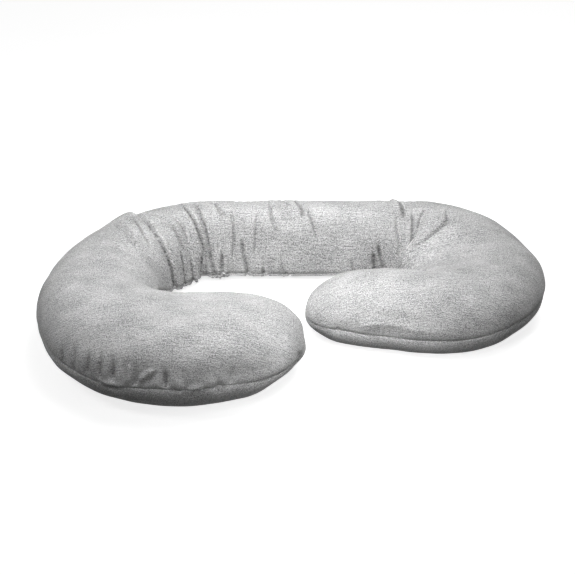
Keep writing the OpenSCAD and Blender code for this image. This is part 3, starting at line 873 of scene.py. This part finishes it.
def care_label():
    """A folded satin tape: out of the seam, down outside the cover, and back up behind itself."""
    low, high = (np.array(c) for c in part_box("care_label"))
    root_y = high[1] - 0.7 * MM
    seam_z = high[2]
    drop = high[2] - low[2] - 1 * MM
    down = np.linspace(0, 1, 20)
    fold = np.linspace(0, math.pi, 9)[1:-1]
    front_y = 0.75 * MM - 1.4 * MM * down**2
    rear_y = front_y - 0.45 * MM - 0.25 * MM * np.sin(math.pi * down)
    bulge = cover_reach(low[0] - 2 * MM, high[0] + 2 * MM, seam_z - 0.6 * MM - drop * down)
    clear = np.maximum(0, bulge + 0.6 * MM - (root_y + rear_y))
    front_y, rear_y = front_y + clear, rear_y + clear
    front = np.stack([root_y + front_y, seam_z - 0.6 * MM - drop * down], -1)
    rear = np.stack([root_y + rear_y, seam_z - 0.6 * MM - (drop - 0.3 * MM) * down], -1)[::-1]
    middle = (front[-1] + rear[0]) / 2
    gap = np.linalg.norm(front[-1] - rear[0]) / 2
    curl = np.stack([middle[0] + gap * np.cos(fold), middle[1] - 1.2 * gap * np.sin(fold)], -1)
    lead = np.array([
        [root_y - 2.5 * MM, seam_z - 0.1 * MM],
        [root_y - 0.2 * MM, seam_z],
        [root_y + 0.5 * MM, seam_z - 0.2 * MM],
    ])
    tail = np.array([[root_y - 0.1 * MM, seam_z - 0.5 * MM], [root_y - 2.5 * MM, seam_z - 0.6 * MM]])
    profile = np.concatenate([lead, front, curl, rear, tail])
    run = run_along(profile)
    cols = np.linspace(0, 1, 13)
    x = low[0] + (high[0] - low[0]) * cols
    grid = np.zeros((len(profile), len(cols), 3))
    grid[..., 0] = x
    wave = 0.5 * MM * np.sin(2.6 * math.pi * cols)[None] * np.clip(run / run[-1] * 2, 0, 1)[:, None]
    grid[..., 1] = profile[:, :1] + wave * np.sin(math.pi * np.clip(run / run[-1], 0, 1))[:, None]
    grid[..., 2] = profile[:, 1:]
    uv = np.stack(np.broadcast_arrays(x[None], run[:, None]), -1)
    faces = [list(f)[::-1] for f in grid_faces(*grid.shape[:2])]
    label = solid(make_mesh("satin_care_label", grid.reshape(-1, 3), faces, uv.reshape(-1, 2)), 0.2 * MM, 0)
    pillow_piece(label, "label_satin", "care_label")
    return label


label = care_label()


# ---------------------------------------------------------------- materials
class Paint:
    """A node material: constant numbers go straight on the shader, patterns are linked to it."""

    def __init__(self, name, **constant):
        self.material = bpy.data.materials.new(name)
        self.material.use_nodes = True
        self.tree = self.material.node_tree
        self.shader = self.tree.nodes["Principled BSDF"]
        for socket, value in constant.items():
            self.shader.inputs[socket.replace("_", " ").title()].default_value = value

    def node(self, kind, **values):
        made = self.tree.nodes.new("ShaderNode" + kind)
        for name, value in values.items():
            setattr(made, name, value)
        return made

    def link(self, source, target):
        self.tree.links.new(source, target)

    def set(self, socket, source):
        self.link(source, self.shader.inputs[socket])

    def place(self, layer="flat"):
        if layer is None:
            return self.node("TexCoord").outputs["Object"]
        return self.node("UVMap", uv_map=layer).outputs["UV"]

    def scaled(self, place, *size):
        """The place counted in cells of that size, in metres."""
        mapping = self.node("Mapping")
        mapping.inputs["Scale"].default_value = [1 / v for v in (*size, size[-1])][:3]
        self.link(place, mapping.inputs["Vector"])
        return mapping.outputs["Vector"]

    def noise(self, place, *size, detail=2.0, rough=0.5):
        made = self.node("TexNoise")
        for socket, value in (("Scale", 1.0), ("Detail", detail), ("Roughness", rough)):
            made.inputs[socket].default_value = value
        self.link(self.scaled(place, *size), made.inputs["Vector"])
        return made.outputs["Fac"]

    def math(self, kind, a, b=None):
        made = self.node("Math", operation=kind)
        for k, v in enumerate((a, b)):
            if v is None:
                continue
            if isinstance(v, (int, float)):
                made.inputs[k].default_value = v
            else:
                self.link(v, made.inputs[k])
        return made.outputs[0]

    def mixed(self, *parts):
        """Weighted sum of patterns around 0.5: (weight, pattern), ..."""
        total = None
        for weight, pattern in parts:
            term = self.math("MULTIPLY", self.math("SUBTRACT", pattern, 0.5), weight)
            total = term if total is None else self.math("ADD", total, term)
        return self.math("ADD", total, 0.5)

    def stripes(self, x, pitch, height=0.5):
        """Sine stripes around 0.5."""
        wave = self.math("SINE", self.math("MULTIPLY", x, 2 * math.pi / pitch))
        return self.math("ADD", self.math("MULTIPLY", wave, height), 0.5)

    def ramp(self, pattern, *stops):
        made = self.node("ValToRGB")
        band = made.color_ramp
        while len(band.elements) < len(stops):
            band.elements.new(0.5)
        for element, (at, colour) in zip(band.elements, stops):
            element.position = at
            element.color = (*colour, 1)
        self.link(pattern, made.inputs["Fac"])
        return made.outputs["Color"]

    def bump(self, height, distance, strength=1.0):
        made = self.node("Bump")
        made.inputs["Strength"].default_value = strength
        made.inputs["Distance"].default_value = distance
        self.link(height, made.inputs["Height"])
        self.set("Normal", made.outputs["Normal"])

    def on(self, *pieces):
        for piece in pieces:
            piece.data.materials.clear()
            piece.data.materials.append(self.material)


def grey(value, warm=0.0):
    return (value * (1 + warm), value, value * (1 - warm))


def split(paint, place):
    made = paint.node("SeparateXYZ")
    paint.link(place, made.inputs[0])
    return made.outputs


def knit_height(paint, place, wale, course):
    """Rows of small V stitches: ribs along the wales, with slanted legs on both sides of each."""
    x, y, _ = split(paint, place)
    part = paint.math("FRACT", paint.math("DIVIDE", x, wale))
    half = paint.math("ABSOLUTE", paint.math("SUBTRACT", part, 0.5))
    slant = paint.math("ADD", paint.math("DIVIDE", y, course), paint.math("MULTIPLY", half, 1.3))
    legs = paint.math("SINE", paint.math("MULTIPLY", slant, 2 * math.pi))
    across = paint.math("SUBTRACT", 1.0, paint.math("POWER", paint.math("MULTIPLY", half, 2.0), 2.0))
    return paint.math("MULTIPLY", across, paint.math("ADD", paint.math("MULTIPLY", legs, 0.32), 0.68))


def weave_height(paint, place, pitch):
    """Plain weave: threads that pass over and under each other."""
    waves_on = [
        paint.math("SINE", paint.math("MULTIPLY", side, math.pi / pitch)) for side in split(paint, place)[:2]
    ]
    return paint.math("MULTIPLY", *waves_on)


def heather_jersey():
    paint = Paint("heather_jersey", Roughness=0.88, Sheen_weight=0.22, Sheen_roughness=0.45)
    paint.shader.inputs["Specular IOR Level"].default_value = 0.25
    place = paint.place()
    long_streaks = paint.noise(place, 0.034, 0.0030, detail=1.0)
    streaks = paint.noise(place, 0.0080, 0.0023, detail=3.0, rough=0.62)
    flecks = paint.noise(place, 0.0027, 0.0018, detail=2.0, rough=0.6)
    fibres = paint.noise(place, 0.0011, 0.0007, detail=1.0)
    cloud = paint.noise(place, 0.075, 0.045, detail=1.0)
    mix = paint.mixed((0.45, long_streaks), (1.0, streaks), (2.0, flecks), (1.3, fibres), (0.4, cloud))
    colour = paint.ramp(mix, (0.18, grey(0.165)), (0.40, grey(0.335)), (0.56, grey(0.45)), (0.84, grey(0.70)))
    paint.set("Base Color", colour)
    knit = knit_height(paint, place, 1.25 * MM, 0.95 * MM)
    fuzz = paint.noise(place, 0.0007, 0.0007, detail=2.0)
    slub = paint.noise(place, 0.012, 0.003, detail=2.0)
    paint.bump(paint.mixed((0.8, knit), (0.5, fuzz), (0.3, slub)), 0.32 * MM, 0.7)
    return paint


def case_cotton():
    paint = Paint("case_cotton", Roughness=0.82, Sheen_weight=0.08)
    place = paint.place()
    colour = paint.mixed((0.5, paint.noise(place, 0.004, 0.0008)), (0.5, paint.noise(place, 0.0008, 0.004)))
    paint.set("Base Color", paint.ramp(colour, (0.3, grey(0.70, 0.02)), (0.7, grey(0.84, 0.015))))
    paint.bump(weave_height(paint, place, 0.5 * MM), 0.15 * MM, 0.6)
    return paint


def bead_fill():
    paint = Paint("bead_fill", Roughness=0.55)
    cells = paint.node("TexVoronoi")
    cells.inputs["Scale"].default_value = 1 / 0.0024
    paint.link(paint.place(None), cells.inputs["Vector"])
    away = cells.outputs["Distance"]
    # Painted shade: the colour fades from near white at each bead's middle to mid grey at its edge, so each
    # bead looks shaded round its rim and darker in the gaps between beads
    paint.set("Base Color", paint.ramp(away, (0.0, grey(0.93)), (0.55, grey(0.82)), (0.8, grey(0.5))))
    paint.bump(paint.math("SUBTRACT", 1.0, away), 1.0 * MM, 0.9)
    return paint


def twisted_thread():
    paint = Paint("twisted_thread", Roughness=0.6, Sheen_weight=0.15)
    x, y, _ = split(paint, paint.place(None))
    shade = paint.stripes(paint.math("ADD", x, y), 0.9 * MM, 0.25)
    paint.set("Base Color", paint.ramp(shade, (0.2, grey(0.24)), (0.8, grey(0.36))))
    paint.bump(shade, 0.08 * MM, 0.6)
    return paint


def zip_tape():
    paint = Paint("zip_tape", Roughness=0.78, Sheen_weight=0.1)
    x, _, z = split(paint, paint.place(None))
    twill = paint.math("PINGPONG", paint.math("DIVIDE", z, 0.0028), 0.5)
    slant = paint.math("ADD", paint.math("DIVIDE", x, 0.0011), paint.math("MULTIPLY", twill, 2.4))
    rib = paint.stripes(slant, 1.0)
    paint.set("Base Color", paint.ramp(rib, (0.1, grey(0.25)), (0.9, grey(0.36))))
    paint.bump(rib, 0.12 * MM, 0.7)
    return paint


def nylon_coil():
    paint = Paint("nylon_coil", Roughness=0.36)
    shade = paint.noise(paint.place(None), 0.003, 0.003)
    paint.set("Base Color", paint.ramp(shade, (0.3, grey(0.30)), (0.7, grey(0.38))))
    paint.bump(paint.noise(paint.place(None), 0.0004, 0.0004), 0.03 * MM, 0.4)
    return paint


def nickel():
    paint = Paint("brushed_nickel", Metallic=1.0)
    place = paint.place(None)
    brushed = paint.noise(place, 0.004, 0.0003, detail=3.0)
    paint.set("Base Color", paint.ramp(brushed, (0.3, (0.52, 0.515, 0.505)), (0.7, (0.68, 0.675, 0.66))))
    paint.set("Roughness", paint.math("ADD", paint.math("MULTIPLY", brushed, 0.25), 0.18))
    paint.bump(brushed, 0.03 * MM, 0.35)
    return paint


def satin():
    paint = Paint("label_satin", Roughness=0.38, Sheen_weight=0.1, Anisotropic=0.4)
    place = paint.place()
    warp = paint.stripes(split(paint, place)[0], 0.4 * MM)
    shade = paint.mixed((0.4, warp), (0.6, paint.noise(place, 0.006, 0.001)))
    paint.set("Base Color", paint.ramp(shade, (0.2, grey(0.74)), (0.8, grey(0.88))))
    paint.bump(warp, 0.05 * MM, 0.5)
    return paint


nodes = frame["nodes"]
heather_jersey().on(panels[1], panels[-1])
case_cotton().on(panels["case_top_panel"], panels["case_bottom_panel"])
bead_fill().on(filling)
twisted_thread().on(thread, case_thread, bpy.data.objects["zip_topstitching"])
zip_tape().on(nodes["zip_upper_tape"], nodes["zip_lower_tape"])
nylon_coil().on(bpy.data.objects["nylon_zip_upper_coil"], bpy.data.objects["nylon_zip_lower_coil"])
nickel().on(nodes["zip_slider"], nodes["zip_pull_tab"], nodes["zip_top_stops"], nodes["zip_bottom_stop"])
satin().on(label)


# ---------------------------------------------------------------- floor, light and camera
FLOOR_HALF = 6.0
FLOOR_CELLS = 24
FLOOR_GLOW = 0.78
AIR = 0.19
BRIGHT_SIDE = (0.35, 0.60, 0.70)
# The camera at the photograph's angle: looking to the back, 30 degrees down
CAMERA_UP = math.radians(30)
CAMERA_AWAY = 2.6
CAMERA_AIM = np.array([-0.0096, -0.0180, 0.08])
LENS, SENSOR = 75.53, 36
FRAME_SHIFT = (-0.0061, 0.0252)


def make_floor():
    """A pale floor that glows a little to the camera, without lighting the pillow."""
    line = np.linspace(-FLOOR_HALF, FLOOR_HALF, FLOOR_CELLS + 1)
    flat = np.meshgrid(line, line, indexing="ij")
    grid = np.stack([*flat, np.full_like(flat[0], -0.4 * MM)], -1)
    faces = [list(f) for f in grid_faces(FLOOR_CELLS + 1, FLOOR_CELLS + 1)]
    floor = make_mesh("pale_floor", grid.reshape(-1, 3), faces, smooth=False)
    paint = Paint("pale_floor", Roughness=0.9)
    shade = paint.noise(paint.place(None), 0.4, 0.4)
    paint.set("Base Color", paint.ramp(shade, (0.3, grey(0.49)), (0.7, grey(0.51))))
    paint.shader.inputs["Emission Color"].default_value = (1, 1, 1, 1)
    paint.shader.inputs["Emission Strength"].default_value = FLOOR_GLOW
    paint.on(floor)
    floor.visible_diffuse = False


def area_light(name, place, target, size, power, spread=180):
    data = bpy.data.lights.new(name, "AREA")
    data.shape = "DISK"
    data.size = size
    data.spread = math.radians(spread)
    data.energy = power
    lamp = bpy.data.objects.new(name, data)
    lamp.visible_camera = False
    bpy.context.scene.collection.objects.link(lamp)
    way = np.array(target) - np.array(place)
    lamp.location = place
    lamp.rotation_euler = (
        math.atan2(math.hypot(way[0], way[1]), -way[2]), 0, math.atan2(way[1], way[0]) - math.pi / 2
    )


def make_camera():
    data = bpy.data.cameras.new("camera")
    camera = bpy.data.objects.new("camera", data)
    bpy.context.scene.collection.objects.link(camera)
    camera.location = CAMERA_AIM + CAMERA_AWAY * np.array([0, -math.cos(CAMERA_UP), math.sin(CAMERA_UP)])
    camera.rotation_euler = (math.pi / 2 - CAMERA_UP, 0, 0)
    data.lens, data.sensor_width = LENS, SENSOR
    data.shift_x, data.shift_y = FRAME_SHIFT
    bpy.context.scene.camera = camera


def make_world():
    """Studio air: white to the camera, and dim to the pillow, less so from above and behind."""
    world = bpy.data.worlds.new("studio")
    bpy.context.scene.world = world
    world.use_nodes = True
    tree = world.node_tree
    air = tree.nodes["Background"]
    way = tree.nodes.new("ShaderNodeTexCoord")
    bright_side = tree.nodes.new("ShaderNodeVectorMath")
    bright_side.operation = "DOT_PRODUCT"
    bright_side.inputs[1].default_value = BRIGHT_SIDE
    shade = tree.nodes.new("ShaderNodeMapRange")
    for socket, value in (("From Min", -1), ("From Max", 1), ("To Min", 0), ("To Max", 2 * AIR)):
        shade.inputs[socket].default_value = value
    white = tree.nodes.new("ShaderNodeBackground")
    for node in (air, white):
        node.inputs["Color"].default_value = (1, 1, 1, 1)
    seen, both = tree.nodes.new("ShaderNodeLightPath"), tree.nodes.new("ShaderNodeMixShader")
    for source, target in (
        (way.outputs["Generated"], bright_side.inputs[0]),
        (bright_side.outputs["Value"], shade.inputs["Value"]),
        (shade.outputs["Result"], air.inputs["Strength"]),
        (seen.outputs["Is Camera Ray"], both.inputs[0]),
        (air.outputs[0], both.inputs[1]),
        (white.outputs[0], both.inputs[2]),
        (both.outputs[0], tree.nodes["World Output"].inputs["Surface"]),
    ):
        tree.links.new(source, target)


make_floor()
area_light("overhead", (0.60, 0.42, 2.25), (0.05, 0.0, 0), 1.5, 27.5)
area_light("inner_left", (-0.75, -0.40, 0.80), (0.05, 0.27, 0.08), 0.5, 1.4, 70)
area_light("inner_middle", (0.0, -0.60, 0.85), (0.0, 0.27, 0.08), 0.5, 1.15, 60)
area_light("right_arm", (-0.55, -1.30, 0.90), (0.28, -0.22, 0.07), 0.4, 0.42, 34)
area_light("left_tip", (0.90, -0.80, 0.60), (0.0, -0.28, 0.08), 0.3, 0.09, 30)
make_world()
bpy.context.scene.view_settings.view_transform = "Standard"
make_camera()
